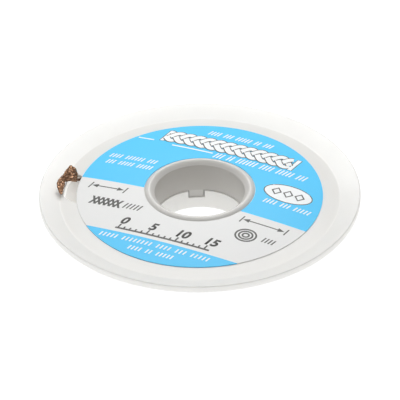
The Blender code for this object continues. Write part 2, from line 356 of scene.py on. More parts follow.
def copper_look(colours):
    """Drawn copper wire under a film of flux, with painted shade over the tarnish in the dips between the
    strands.
    """
    look = Look("copper_wire")
    place = look.place()
    crown = look.node("Attribute", {"attribute_name": "crown"}, output="Fac")
    dull = look.ramp(look.noise(place, 0.0008, 3.0), 0.4, 0.7, 0.3)
    grain = look.noise(place, 0.00008, 1.0)
    wire = look.mix(dull, Vector(colours.copper), Vector(colours.tarnish))
    # painted shade: the dips between the strands get a colour far darker than the tarnish
    dip_shade = Vector(colours.tarnish) * 0.12
    flux_tint = (1.0, 0.94, 0.8, 1.0)
    look.set(Base_Color=look.mix(look.ramp(crown, 0.3, 0.85), dip_shade, wire), Metallic=1.0,
             Roughness=0.26 + dull * 0.2, Normal=look.bump(grain, 0.000005, 0.3),
             Coat_Weight=0.5, Coat_Roughness=0.1, Coat_Tint=flux_tint)
    return look.material


def coil_look(colours, sizes):
    """Wound copper braid: a twill of fine strands along each turn, with painted shade between the strands."""
    look = Look("copper_coil")
    x, y, z = look.axes()
    round_hub = look.node("Math", {"operation": "ARCTAN2"}, y, x) * (sizes.coil_radius / STRAND)
    up = z * (1.0 / STRAND)
    rising = look.node("Math", {"operation": "SINE"}, (round_hub + up) * math.pi)
    falling = look.node("Math", {"operation": "SINE"}, (round_hub - up) * math.pi)
    weave = look.node("Math", {"operation": "MAXIMUM"}, rising, falling)
    dull = look.noise(look.place(), 0.0012, 4.0)
    dark = Vector(colours.tarnish)
    bright = look.mix(dull, Vector(colours.copper), dark)
    # painted shade: darker than the tarnish in the gaps between the strands
    look.set(Base_Color=look.mix(weave * 0.5 + 0.5, dark * 0.4, bright), Metallic=1.0, Roughness=0.35,
             Normal=look.bump(weave, 0.00005, 0.8))
    return look.material


def floor_look(colours):
    """Plain pale floor that is bright enough to swallow its shadows."""
    look = Look("pale_floor")
    grain = look.noise(look.place(), 0.02)
    tone = Vector(colours.floor)
    look.set(Base_Color=look.mix(grain, tone * 0.98, tone), Roughness=0.6, Emission_Color=(1.0, 1.0, 1.0),
             Emission_Strength=FLOOR_GLOW, Specular_IOR_Level=0.2)
    return look.material


# Modelling helpers

def deselect():
    """Leave nothing selected."""
    for thing in bpy.context.selected_objects:
        thing.select_set(False)


def pick(thing):
    """Select one object and make it active."""
    deselect()
    thing.select_set(True)
    bpy.context.view_layer.objects.active = thing


def edit(thing):
    """Edit mode on one object, with all of it selected."""
    pick(thing)
    bpy.ops.object.mode_set(mode="EDIT")
    bpy.ops.mesh.select_all(action="SELECT")


def leave():
    """Back to object mode."""
    bpy.ops.object.mode_set(mode="OBJECT")


def select(thing, kind, wanted):
    """In edit mode, select the faces, edges or vertices that a test wants."""
    bpy.ops.mesh.select_mode(type={"faces": "FACE", "edges": "EDGE", "verts": "VERT"}[kind])
    bpy.ops.mesh.select_all(action="DESELECT")
    mesh = bmesh.from_edit_mesh(thing.data)
    for item in getattr(mesh, kind):
        if wanted(item):
            item.select_set(True)
    mesh.select_flush_mode()
    bmesh.update_edit_mesh(thing.data)


def traced(name, points):
    """Closed wire through the points, drawn from one vertex. It stays in edit mode."""
    deselect()
    bpy.ops.mesh.primitive_plane_add(size=MM)
    thing = bpy.context.object
    thing.name = thing.data.name = name
    bpy.ops.object.mode_set(mode="EDIT")
    bpy.ops.mesh.select_mode(type="VERT")
    bpy.ops.mesh.select_all(action="SELECT")
    bpy.ops.mesh.merge(type="CENTER")
    here = Vector(points[0])
    bpy.ops.transform.translate(value=here)
    for point in points[1:]:
        step = Vector(point) - here
        bpy.ops.mesh.extrude_vertices_move(TRANSFORM_OT_translate={"value": step})
        here = Vector(point)
    last = len(points) - 1
    select(thing, "verts", lambda vert: vert.index in (0, last))
    bpy.ops.mesh.edge_face_add()
    return thing


def tidy(thing):
    """Merge doubles, turn the faces outwards and leave edit mode with smooth shading."""
    bpy.ops.mesh.select_mode(type="VERT")
    bpy.ops.mesh.select_all(action="SELECT")
    bpy.ops.mesh.remove_doubles(threshold=CLOSE)
    bpy.ops.mesh.normals_make_consistent(inside=False)
    leave()
    pick(thing)
    bpy.ops.object.shade_smooth_by_angle(angle=CREASE)


def turned(name, outline, steps):
    """Solid turned from a closed outline of (radius, height) points. It stays in edit mode."""
    thing = traced(name, [(radius, 0.0, height) for radius, height in outline])
    bpy.ops.mesh.select_all(action="SELECT")
    bpy.ops.mesh.spin(steps=steps, angle=math.tau, center=(0, 0, 0), axis=(0, 0, 1), use_auto_merge=True)
    bpy.ops.mesh.select_all(action="SELECT")
    bpy.ops.mesh.remove_doubles(threshold=CLOSE)
    bpy.ops.mesh.normals_make_consistent(inside=False)
    return thing


def apply_all(thing):
    """Apply the modifiers in order."""
    pick(thing)
    for modifier in list(thing.modifiers):
        bpy.ops.object.modifier_apply(modifier=modifier.name)


def joined(name, things):
    """One object from several."""
    deselect()
    for thing in things:
        thing.select_set(True)
    bpy.context.view_layer.objects.active = things[0]
    if len(things) > 1:
        bpy.ops.object.join()
    things[0].name = things[0].data.name = name
    return things[0]


def dressed(thing, look, slot, *nodes):
    """Give a finished piece its material, hang it from the body's empty and hide the CAD parts that it stands
    for.
    """
    thing.data.materials.clear()
    thing.data.materials.append(look)
    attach(thing, BODY)
    if nodes:
        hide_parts(*nodes)


def polar(radius, azimuth, height=0.0):
    """Point by its radius, its azimuth in radians and its height."""
    return Vector((radius * math.cos(azimuth), radius * math.sin(azimuth), height))


def between(first, last, steps):
    """Evenly spaced numbers, both ends included."""
    return [first + (last - first) * step / steps for step in range(steps + 1)]


# Case

def dome(case, radius):
    """Height of the top flange's upper side."""
    return case.dome_apex - (case.dome_curve - math.sqrt(case.dome_curve**2 - radius**2))


def quarter(centre, radius, first, last, steps):
    """Arc of an outline, its angles in degrees."""
    return [(centre[0] + radius * math.cos(math.radians(angle)),
             centre[1] + radius * math.sin(math.radians(angle)))
            for angle in between(first, last, steps)]


def flange_radii(case, outlet):
    """Radii of the rows of faces across the dome, with even rows across the window."""
    curb = 0.0008               # between the window and the last row before it
    rows = between(case.lip_radius, outlet.inner_radius - curb, DOME_ROWS)
    rows += between(outlet.inner_radius, outlet.inner_radius + outlet.width, WINDOW_ROWS)
    return rows


def valley(case, lowered):
    """Rounded groove between the dome and the brim."""
    inner_radius = case.valley_radius - case.valley_round
    inner = Vector((inner_radius, dome(case, inner_radius)))
    bottom = Vector((case.valley_radius, dome(case, case.valley_radius)))
    slope = case.brim_rise / (case.rim_radius - case.valley_radius)
    outer = bottom + Vector((case.valley_round, case.valley_round * slope))
    curve = []
    for part in between(0.0, 1.0, VALLEY_STEPS):
        point = inner.lerp(bottom, part).lerp(bottom.lerp(outer, part), part)
        curve.append((point.x, point.y - lowered))
    return curve


def top_outline(case, outlet):
    """Outline of the case top, from the hub's end up the bore, out over the dome and back below it."""
    broken = 0.0001             # broken edges of the hub's end and of the rim
    root = 0.0002               # bevel between the hub and the flange
    hub_radius = case.bore_radius + case.hub_wall
    hub_top = dome(case, hub_radius) - case.top_thickness
    crest = dome(case, case.lip_radius) + case.lip_rise
    foot = math.degrees(math.asin(1.0 - case.lip_rise / case.lip_round))
    crest_radius = case.lip_radius - case.lip_round * math.cos(math.radians(foot))
    outline = [(case.bore_radius, case.hub_bottom + broken)]
    lowest, highest = case.hub_bottom + 0.001, crest - 0.0015     # rows of faces inside the bore
    outline += [(case.bore_radius, height) for height in between(lowest, highest, 3)]
    outline += [(case.bore_radius + (crest_radius - case.bore_radius) * part,
                 crest - case.lip_drop * (1.0 - part)**LIP_FALL) for part in between(0.0, 1.0, LIP_STEPS)]
    outline += quarter((crest_radius, crest - case.lip_round), case.lip_round, 90.0, foot, LIP_STEPS)[1:]
    rows = flange_radii(case, outlet)
    outline += [(radius, dome(case, radius)) for radius in rows[1:]]
    outline += valley(case, 0.0)
    half = case.brim_thickness / 2
    rim = dome(case, case.valley_radius) + case.brim_rise
    slope = case.brim_rise / (case.rim_radius - case.valley_radius)
    inside = case.rim_radius - case.brim_thickness
    edge_foot = rim - case.rim_edge + broken
    outline += quarter((case.rim_radius - half, rim - half), half, 105.0, 0.0, 6)
    outline += quarter((case.rim_radius - broken, edge_foot), broken, 0.0, -90.0, 4)
    outline += quarter((inside + broken, edge_foot), broken, -90.0, -180.0, 4)
    outline += [(inside, rim - case.brim_thickness * (1.0 + slope))]
    outline += reversed(valley(case, case.top_thickness))
    outline += [(radius, dome(case, radius) - case.top_thickness)
                for radius in reversed(rows) if radius > hub_radius + 2 * root]
    outline += [(hub_radius + root, hub_top), (hub_radius, hub_top - root),
                (hub_radius, case.hub_bottom + broken), (hub_radius - broken, case.hub_bottom),
                (case.bore_radius + broken, case.hub_bottom)]
    return outline


def open_window(thing, outlet):
    """Cut the outlet: bend rows of faces to its slanted ends, open them and wall the hole."""
    mesh = bmesh.from_edit_mesh(thing.data)
    step = math.tau / CASE_STEPS
    middle = outlet.inner_radius + outlet.width / 2
    columns = round(outlet.extent / (middle * step))
    first = round((outlet.azimuth - outlet.extent / middle / 2) / step)
    inner, outer = outlet.inner_radius - CLOSE, outlet.inner_radius + outlet.width + CLOSE

    def is_row(radius):
        return inner < radius < outer

    def azimuth_of(place):
        return math.atan2(place.y, place.x) % math.tau

    def column(place):
        return azimuth_of(place) / step - first

    doomed = []
    for face in mesh.faces:
        spot = face.calc_center_median()
        if is_row(spot.xy.length) and 0 < column(spot) < columns and abs(face.normal.z) > LEVEL:
            doomed.append(face)
    moves = []
    for vert in mesh.verts:
        radius = vert.co.xy.length
        place = column(vert.co)
        if not is_row(radius) or not -WINDOW_BLEND < place < columns + WINDOW_BLEND:
            continue
        part = (radius - outlet.inner_radius) / outlet.width
        bow = outlet.bulge * (1 - abs(2 * part - 1) ** 3)

        def warped(side):
            """Azimuth at the window's far end for -1, at its near end for 1."""
            slant = (outlet.slant + outlet.far_slant + side * (outlet.slant - outlet.far_slant)) / 2
            along = side * (outlet.extent / 2 + bow) - slant * (part - 0.5)
            return outlet.azimuth + along / radius

        if place < 0:
            blend = -place / WINDOW_BLEND
            azimuth = warped(-1) * (1 - blend) + (first - WINDOW_BLEND) * step * blend
        elif place > columns:
            blend = (place - columns) / WINDOW_BLEND
            azimuth = warped(1) * (1 - blend) + (first + columns + WINDOW_BLEND) * step * blend
        else:
            azimuth = warped(2 * place / columns - 1)
        moves.append((vert, azimuth, radius))
    for vert, azimuth, radius in moves:
        vert.co.x = radius * math.cos(azimuth)
        vert.co.y = radius * math.sin(azimuth)
    bmesh.ops.delete(mesh, geom=doomed, context="FACES")
    bmesh.update_edit_mesh(thing.data)
    select(thing, "edges", lambda edge: edge.is_boundary)
    bpy.ops.mesh.bridge_edge_loops()
    select(thing, "edges", lambda edge: len(edge.link_faces) == 2 and edge.calc_face_angle() > WINDOW_CREASE
           and all(is_row(vert.co.xy.length) for vert in edge.verts)
           and abs(azimuth_of(edge.verts[0].co) - outlet.azimuth) < WINDOW_REACH)
    bpy.ops.mesh.bevel(offset=outlet.edge, segments=2, affect="EDGES")


def pull_tongues(thing, case):
    """Extrude the two tongues from the hub's end."""
    half = case.tongue_width / 2 / (case.bore_radius + case.hub_wall / 2)

    def on_tongue(face):
        spot = face.calc_center_median()
        azimuth = (math.atan2(spot.y, spot.x) - case.tongue_azimuth + half) % math.pi
        return face.normal.z < -LEVEL and spot.z < case.hub_bottom + CLOSE and azimuth < 2 * half

    select(thing, "faces", on_tongue)
    bpy.ops.mesh.extrude_region_move(TRANSFORM_OT_translate={"value": (0, 0, -case.tongue_length)})


class BOBBIN_OT_case_top(bpy.types.Operator):
    """Build the top flange with its hub, tongues and outlet"""

    bl_idname = "bobbin.case_top"
    bl_label = "Case Top"

    def execute(self, context):
        case = context.scene.bobbin_case
        outlet = context.scene.bobbin_outlet
        colours = context.scene.bobbin_colours
        thing = turned("case_top_shell", top_outline(case, outlet), CASE_STEPS)
        open_window(thing, outlet)
        pull_tongues(thing, case)
        tidy(thing)
        # painted shade: a darker ring inside the valley, a darker lip and a darker bore wall
        inside_valley = Zone(case.valley_radius + 0.0001, case.valley_radius - 0.0001, 0.10)
        lip = Zone(case.lip_radius + 0.0004, case.lip_radius - 0.0002, 0.19)
        bore = Zone(case.bore_radius + 0.00012, case.bore_radius + 0.00004, 0.34, varied=True)
        # painted light: the rim's edge glows
        rim_edge = Zone(case.rim_radius - 0.00008, case.rim_radius - 0.00002, 1.0)
        look = plastic_look("top_plastic", colours, inside_valley, lip, bore)
        look.glow(EDGE_GLOW, colours.plastic, rim_edge)
        dressed(thing, look.material, "translucent_plastic", "case_top")
        return {"FINISHED"}


def base_outline(case):
    """Outline of the case base: foot tube, pan floor with its rounded corner, and flared wall."""
    foot_break = 0.0002         # broken edge inside the foot
    foot_round = 0.0003
    outer_round = 0.0005        # pan's corner, outside and inside
    inner_round = 0.0004
    inner_step = 0.0002         # the inner corner's centre lies this far inside the pan's wall
    mouth_break = 0.0001
    first_row = 0.012           # rows of faces across the floor lie between this radius
    margin = 0.002              # and this far from the pan's wall
    mouth = case.pan_top_radius
    wall_top = dome(case, mouth) - case.top_thickness - mouth_break
    outer_bottom = case.pan_radius + case.pan_thickness
    under = case.foot_height
    floor = under + case.pan_thickness
    outline = [(case.foot_bore, case.ledge), (case.foot_bore, foot_break), (case.foot_bore + foot_break, 0.0)]
    outline += quarter((case.foot_radius - foot_round, foot_round), foot_round, -90.0, 0.0, 4)
    outline += quarter((case.foot_radius + foot_round, under - foot_round), foot_round, 180.0, 90.0, 4)
    outline += [(radius, under) for radius in between(first_row, outer_bottom - margin, 4)]
    outline += quarter((outer_bottom - outer_round, under + outer_round), outer_round, -90.0, -15.0, 5)
    outline += [(mouth, wall_top - mouth_break), (mouth - mouth_break, wall_top),
                (mouth - case.pan_thickness, wall_top)]
    outline += quarter((case.pan_radius - inner_step, floor + inner_round), inner_round, -20.0, -90.0, 4)
    outline += [(radius, floor) for radius in between(case.pan_radius - margin, case.socket_radius, 4)]
    outline += [(case.socket_radius, case.ledge)]
    return outline


def cut_notch(thing, case, azimuth):
    """Cut the notch in the foot's inner wall that takes a tongue."""
    past = 0.0002               # how far the cutter reaches past the wall and the ledge
    reach = 0.002               # radial size of the cutter
    side_play = 0.00008         # room beside the tongue, both sides together
    end_play = 0.00003          # room below it
    depth = case.tongue_length + end_play
    middle = polar((case.foot_bore + case.socket_radius) / 2 - past, azimuth)
    deselect()
    bpy.ops.mesh.primitive_cube_add(size=1.0, location=(middle.x, middle.y, case.ledge - depth / 2 + past),
                                    rotation=(0.0, 0.0, azimuth))
    cutter = bpy.context.object
    cutter.scale = (reach, case.tongue_width + side_play, depth + 2 * past)
    cut = thing.modifiers.new("notch", "BOOLEAN")
    cut.operation = "DIFFERENCE"
    cut.solver = "EXACT"
    cut.object = cutter
    apply_all(thing)
    bpy.data.objects.remove(cutter)


class BOBBIN_OT_case_base(bpy.types.Operator):
    """Build the pan with its foot tube and the two notches for the tongues"""

    bl_idname = "bobbin.case_base"
    bl_label = "Case Base"

    def execute(self, context):
        case = context.scene.bobbin_case
        coil = context.scene.bobbin_braid
        colours = context.scene.bobbin_colours
        thing = turned("case_base_shell", base_outline(case), CASE_STEPS)
        tidy(thing)
        for side in (0.0, math.pi):
            cut_notch(thing, case, case.tongue_azimuth + side)
        edit(thing)
        tidy(thing)
        # painted shade: the pan darker under the coil, partly standing in for copper seen through it, and
        # lighter again round the foot
        under_coil = Zone(coil.coil_radius + 0.0008, coil.coil_radius - 0.0008, 0.25)
        pale_foot = Zone(coil.coil_bore + 0.0012, coil.coil_bore - 0.0002, -0.3)
        # painted light: the pan's wall and the foot's bore glow
        pan_wall = Zone(case.pan_radius - 0.001, case.pan_radius, 1.0)
        foot_wall = Zone(case.foot_bore + 0.0004, case.foot_bore + 0.0001, 0.3)
        look = plastic_look("pan_plastic", colours, under_coil, pale_foot)
        look.glow(PAN_GLOW, colours.plastic, pan_wall, foot_wall)
        dressed(thing, look.material, "translucent_plastic", "case_base")
        return {"FINISHED"}


# Label

UPPER_ZONE = -3.1 * MM      # the blue zones lie above and below the white band, across the print
LOWER_ZONE = -15.1 * MM
PRINT_GRID = 1.5 * MM       # the print is cut this fine, so that it follows the dome
GRID_LINES = 13             # cuts on each side of the middle
INK_LIFT = 0.6              # middle of the ink above the paper, for each of its thickness

# The print in millimetres, along and across it.
LEAN = 0.2                  # slant of the bars and ticks
MARK_WIDTH = 0.24           # stitch marks
MARK_LEAN = 0.3
ARROW_LINE = -4.85
ARROW_WEIGHT = 0.22
BAR_HEIGHT = 1.6
HEAD_LENGTH = 1.1
HEAD_HALF = 0.42            # half the head's width, for each of its length
TIP_GAPS = (0.35, 0.15)     # from the first bar to its tip, and from the other tip to its bar
DIGIT_LINE = -13.0
DIGIT_HEIGHT = 1.65
DIGIT_WEIGHT = 0.09
DIGIT_SHEAR = 0.25
FONT_SHARE = 0.7            # height of a digit, for each of the font's size
ELLIPSE_STEPS = 48
OVAL = (13.6, 4.65, 4.1, 2.3)       # its middle and its half sizes
FINE_LINE = 0.16            # weights of the drawn lines
OVAL_LINE = 0.17
BOLD_LINE = 0.3
PLAIT_WIDTH = 0.95
PLAIT_BACKING = 1.3         # width of the dark strands behind the light ones
PLAIT_ENDS = (-11.6, 10.6)
PLAIT_LINE = 13.1
PLAIT_SWING = 1.35
PLAIT_PERIOD = 5.55
PLAIT_STEPS = 90
PLAIT_LIFT = 0.03           # how far a strand rises over the others
TIES = (-12.0, 11.0)
OUTLINE_DROP = 0.012        # the dark strands lie this far below the light ones
LOZENGES = (11.6, 13.6, 15.6)
LOZENGE_LIFT = 0.014        # the lozenges lie this far above the oval
RULES = ((-16.1, -13.3, 10.9), (-9.7, -2.3, 10.3))      # start, end and lower edge
SWATCH_LINES = 6            # lines of the woven swatch, each way
SWATCH_START = -15.05
SWATCH_PITCH = 0.85
SWATCH_WEIGHT = 0.4
COIL_RINGS = (0.45, 0.95, 1.45)
SCALE_START = -8.0
SCALE_LINE = -14.2
TICKS = 16                  # ticks a millimetre apart, every fifth of them long
TICK_HALF = 0.14            # half the width of a tick
LONG_TICK = 1.0
SHORT_TICK = 0.55
NUMBERS = (("0", -8.3), ("5", -3.3), ("10", 1.2), ("15", 6.2))
STITCHES = (
    # start, end, low, high and the marks in each group
    (-5.7, 5.9, 16.0, 17.3, (4, 3, 5, 2, 3)),
    (-1.9, 14.6, 9.3, 10.8, (3, 2, 6, 4, 5, 3)),
    (-18.2, -9.6, 3.8, 4.9, (4, 6, 3)),
    (-18.0, -9.6, 1.9, 3.0, (3, 5, 5)),
    (10.6, 18.8, 0.9, 2.0, (4, 3, 5)),
    (-10.2, 9.0, -16.7, -15.8, (5, 8, 4, 3, 5)),
    (-4.4, 3.5, -18.4, -17.5, (4, 2, 5)),
)


class BOBBIN_OT_label(bpy.types.Operator):
    """Build the ring-shaped paper label on the dome"""

    bl_idname = "bobbin.label"
    bl_label = "Label"

    def execute(self, context):
        case = context.scene.bobbin_case
        sizes = context.scene.bobbin_label
        radii = between(sizes.inner_radius, sizes.outer_radius, LABEL_ROWS)
        glue = 0.000004         # the paper's underside lies this far above the dome
        lower = [(radius, dome(case, radius) + glue) for radius in radii]
        upper = [(radius, dome(case, radius) + sizes.thickness) for radius in radii]
        thing = turned("label_paper_ring", lower + list(reversed(upper)), LABEL_STEPS)
        tidy(thing)
        dressed(thing, label_look(context.scene.bobbin_colours, sizes), "label_print", "label")
        return {"FINISHED"}


def flat(name, corners):
    """Flat face through corner points (along, across) in millimetres."""
    thing = traced(name, [(along * MM, across * MM, 0.0) for along, across in corners])
    bpy.ops.mesh.select_all(action="SELECT")
    bpy.ops.mesh.edge_face_add()
    leave()
    return thing


def stroke(name, path, width, closed=False):
    """Strip of even width along a path of (along, across, lift) points in millimetres."""
    count = len(path)
    deselect()
    bpy.ops.mesh.primitive_grid_add(x_subdivisions=count if closed else count - 1, y_subdivisions=1, size=1.0)
    thing = bpy.context.object
    thing.name = thing.data.name = name
    verts = sorted(thing.data.vertices, key=lambda vert: (round(vert.co.x, 6), vert.co.y))
    for number, vert in enumerate(verts):
        station, side = divmod(number, 2)
        here = Vector(path[station % count])
        if closed:
            ahead, behind = Vector(path[(station + 1) % count]), Vector(path[(station - 1) % count])
        else:
            ahead, behind = Vector(path[min(station + 1, count - 1)]), Vector(path[max(station - 1, 0)])
        along = (ahead - behind).xy.normalized()
        shift = Vector((-along.y, along.x, 0.0)) * (width / 2 if side else -width / 2)
        vert.co = (here + shift) * MM
    return thing


def copied(thing, matrix):
    """Copy with its own mesh, moved."""
    twin = thing.copy()
    twin.data = thing.data.copy()
    twin.data.transform(matrix)
    bpy.context.scene.collection.objects.link(twin)
    return twin


def hatch(start, end, low, high, groups):
    """Row of short slanted marks in groups, like stitches."""
    lean = MARK_LEAN * (high - low)
    mark = flat("mark", [(0.0, 0.0), (MARK_WIDTH, 0.0), (MARK_WIDTH + lean, high - low), (lean, high - low)])
    pitch = (end - start) / (sum(groups) + len(groups) - 1)
    marks = []
    slot = 0
    for group in groups:
        for _ in range(group):
            marks.append(copied(mark, Matrix.Translation(((start + slot * pitch) * MM, low * MM, 0.0))))
            slot += 1
        slot += 1
    bpy.data.objects.remove(mark)
    return marks


def upright(name, place, half, low, high, lean):
    """Slanted bar, its foot's middle at the place."""
    return flat(name, [(place - half, low), (place + half, low),
                       (place + half + lean, high), (place - half + lean, high)])


def arrow(start, end):
    """Measuring arrow between two bars."""
    half = ARROW_WEIGHT / 2
    low, high = ARROW_LINE - BAR_HEIGHT / 2, ARROW_LINE + BAR_HEIGHT / 2
    parts = [upright("bar", place, half, low, high, LEAN * BAR_HEIGHT) for place in (start, end)]
    left, right = start + TIP_GAPS[0], end - TIP_GAPS[1]
    parts.append(flat("shaft", [(left + HEAD_LENGTH / 2, ARROW_LINE - half),
                                (right - HEAD_LENGTH / 2, ARROW_LINE - half),
                                (right - HEAD_LENGTH / 2, ARROW_LINE + half),
                                (left + HEAD_LENGTH / 2, ARROW_LINE + half)]))
    for tip, back in ((left, HEAD_LENGTH), (right, -HEAD_LENGTH)):
        spread = back * HEAD_HALF
        parts.append(flat("head", [(tip, ARROW_LINE), (tip + back, ARROW_LINE - spread),
                                   (tip + back, ARROW_LINE + spread)]))
    return parts


def number(text, along):
    """Plain slanted number above the scale, its lower left corner at the place."""
    deselect()
    bpy.ops.object.text_add()
    thing = bpy.context.object
    thing.data.body = text
    thing.data.size = DIGIT_HEIGHT / FONT_SHARE * MM
    thing.data.shear = DIGIT_SHEAR
    thing.data.offset = DIGIT_WEIGHT * MM
    bpy.ops.object.convert(target="MESH")
    thing = bpy.context.object
    thing.data.transform(Matrix.Translation((along * MM, DIGIT_LINE * MM, 0.0)))
    return thing


def ellipse(along, across, wide, high, turn_by=0.0):
    """Closed path round an ellipse."""
    spin = Matrix.Rotation(turn_by, 2)
    points = []
    for step in range(ELLIPSE_STEPS):
        angle = math.tau * step / ELLIPSE_STEPS
        spot = spin @ Vector((wide * math.cos(angle), high * math.sin(angle)))
        points.append((along + spot.x, across + spot.y, 0.0))
    return points


def plait_strands(width, drop):
    """Three strands that plait: each weaves over and under the others."""
    strands = []
    for strand in range(3):
        path = []
        for along in between(*PLAIT_ENDS, PLAIT_STEPS):
            angle = math.tau * (along / PLAIT_PERIOD + strand / 3)
            path.append((along, PLAIT_LINE + PLAIT_SWING * math.sin(angle),
                         PLAIT_LIFT * math.sin(2 * angle) + PLAIT_LIFT - drop))
        strands.append(stroke("strand", path, width))
    return strands


def white_print():
    """Light print: plait, rules, oval and rows of stitches."""
    parts = plait_strands(PLAIT_WIDTH, 0.0)
    for end in TIES:
        parts.append(flat("tie", [(end - 0.35, 11.3), (end + 0.35, 11.3),
                                  (end + 0.85, 14.9), (end + 0.15, 14.9)]))
    for first, last, low in RULES:
        high = low + BOLD_LINE
        parts.append(flat("rule", [(first, low), (last, low), (last, high), (first, high)]))
    parts.append(flat("oval", [(x, y) for x, y, _ in ellipse(*OVAL)]))
    for row in STITCHES:
        parts += hatch(*row)
    return parts


def dark_print():
    """Dark print: outlines, measuring arrows, a woven swatch, a coil and a short rule with plain numbers."""
    parts = plait_strands(PLAIT_BACKING, OUTLINE_DROP)
    for end in TIES:
        parts.append(stroke("tie_edge", [(end - 0.38, 11.25, 0), (end + 0.38, 11.25, 0),
                                         (end + 0.9, 14.95, 0), (end + 0.12, 14.95, 0)],
                            FINE_LINE, closed=True))
    parts.append(stroke("oval_edge", ellipse(*OVAL), OVAL_LINE, closed=True))
    for along in LOZENGES:
        corners = ((-0.75, 4.65), (0.0, 3.75), (0.75, 4.65), (0.0, 5.55))
        parts.append(stroke("lozenge", [(along + beside, across, LOZENGE_LIFT) for beside, across in corners],
                            BOLD_LINE, closed=True))
    parts += arrow(-17.4, -11.2) + arrow(9.4, 17.0)
    for lean in (1.0, -1.0):
        for slot in range(SWATCH_LINES):
            left = SWATCH_START + slot * SWATCH_PITCH
            right = left + SWATCH_WEIGHT
            parts.append(flat("weave", [(left - lean * 0.5, -9.6), (right - lean * 0.5, -9.6),
                                        (right + lean * 0.5, -7.6), (left + lean * 0.5, -7.6)]))
    parts += hatch(-9.6, -6.4, -9.3, -7.9, (5,))
    for size in COIL_RINGS:
        parts.append(stroke("coil", ellipse(11.7, -8.4, size * 1.15, size, 0.3), BOLD_LINE, closed=True))
    parts += hatch(14.4, 16.6, -8.8, -7.6, (4,))
    parts.append(flat("base_line", [(-8.4, -14.4), (7.9, -14.4), (7.9, -14.05), (-8.4, -14.05)]))
    for tick in range(TICKS):
        high = LONG_TICK if tick % 5 == 0 else SHORT_TICK
        parts.append(upright("tick", SCALE_START + tick, TICK_HALF, SCALE_LINE, SCALE_LINE + high, LEAN * high))
    for text, place in NUMBERS:
        parts.append(number(text, place))
    return parts


def drape(thing, case, sizes):
    """Cut the flat print to a grid, turn it into place, lay it on the label and give the ink thickness."""
    edit(thing)
    for axis in (Vector((1, 0, 0)), Vector((0, 1, 0))):
        for line in range(-GRID_LINES, GRID_LINES + 1):
            bpy.ops.mesh.select_all(action="SELECT")
            bpy.ops.mesh.bisect(plane_co=axis * line * PRINT_GRID, plane_no=axis)
    leave()
    thing.data.transform(Matrix.Rotation(-sizes.print_turn, 4, "Z"))
    for vert in thing.data.vertices:
        vert.co.z += dome(case, vert.co.xy.length) + sizes.thickness + sizes.ink * INK_LIFT
    wall = thing.modifiers.new("ink", "SOLIDIFY")
    wall.thickness = sizes.ink
    wall.offset = 0.0
    apply_all(thing)


class BOBBIN_OT_label_print(bpy.types.Operator):
    """Print the label: plait, measuring arrows, a short rule and rows of stitches"""

    bl_idname = "bobbin.label_print"
    bl_label = "Label Print"

    def execute(self, context):
        scene = context.scene
        inks = (("label_print_white", white_print, scene.bobbin_colours.white_ink),
                ("label_print_dark", dark_print, scene.bobbin_colours.dark_ink))
        for name, make, tone in inks:
            thing = joined(name, make())
            drape(thing, scene.bobbin_case, scene.bobbin_label)
            dressed(thing, ink_look(name.replace("label_print", "ink"), tone), "label_print")
        return {"FINISHED"}


# Braid

STRAND = 0.00035            # width of one strand
CARRIERS = 10               # strands that run each way round the braid
STRAND_WIRES = 4
STRAND_GAP = 0.6            # room between two strands, in wires
END_STATIONS = 150
ROUTE_STEPS = 600           # fine steps that measure the free end's route
ROUTE_NEAR = 0.01           # share of the route over which its direction is taken
UNDULATION = 0.00006        # how far a strand dips under and rises over the others
FRAY = (0, 0, 1, 1, 2, 3, 4, 6)     # a wire stops one of these numbers of stations before the end
SLIMMEST = 0.6              # half the thickness is at most this share of half the width
CROWN_RISE = 0.6            # how fast the crown mark grows from its middle
COIL_TURN_STEPS = 72
COIL_EDGE = 0.44            # rounding of a turn's edges, for each of the pitch
COIL_STOP = math.radians(148.0)     # where the outermost turn leaves the coil


class BOBBIN_OT_braid_coil(bpy.types.Operator):
    """Wind the flat braid round the hub"""

    bl_idname = "bobbin.braid_coil"
    bl_label = "Braid Coil"

    def execute(self, context):
        sizes = context.scene.bobbin_braid
        round_edge = sizes.pitch * COIL_EDGE
        turns = (sizes.coil_radius - sizes.coil_bore - 2 * round_edge) / sizes.pitch
        steps = int(turns * COIL_TURN_STEPS)
        curve = bpy.data.curves.new("braid_wound", "CURVE")
        curve.dimensions = "3D"
        curve.twist_mode = "Z_UP"
        curve.extrude = sizes.width / 2 - round_edge
        curve.bevel_depth = round_edge
        curve.bevel_resolution = 2
        curve.use_fill_caps = True
        line = curve.splines.new("POLY")
        line.points.add(steps)
        for step in range(steps + 1):
            back = (steps - step) / COIL_TURN_STEPS
            spot = polar(sizes.coil_radius - round_edge - back * sizes.pitch, COIL_STOP - back * math.tau)
            line.points[step].co = (spot.x, spot.y, 0.0, 1.0)
        thing = bpy.data.objects.new("braid_wound", curve)
        context.scene.collection.objects.link(thing)
        pick(thing)
        bpy.ops.object.convert(target="MESH")
        thing = context.object
        thing.data.transform(Matrix.Translation((0, 0, sizes.coil_bottom + sizes.width / 2)))
        edit(thing)
        tidy(thing)
        dressed(thing, coil_look(context.scene.bobbin_colours, sizes), "copper_braid", "braid_coil")
        return {"FINISHED"}


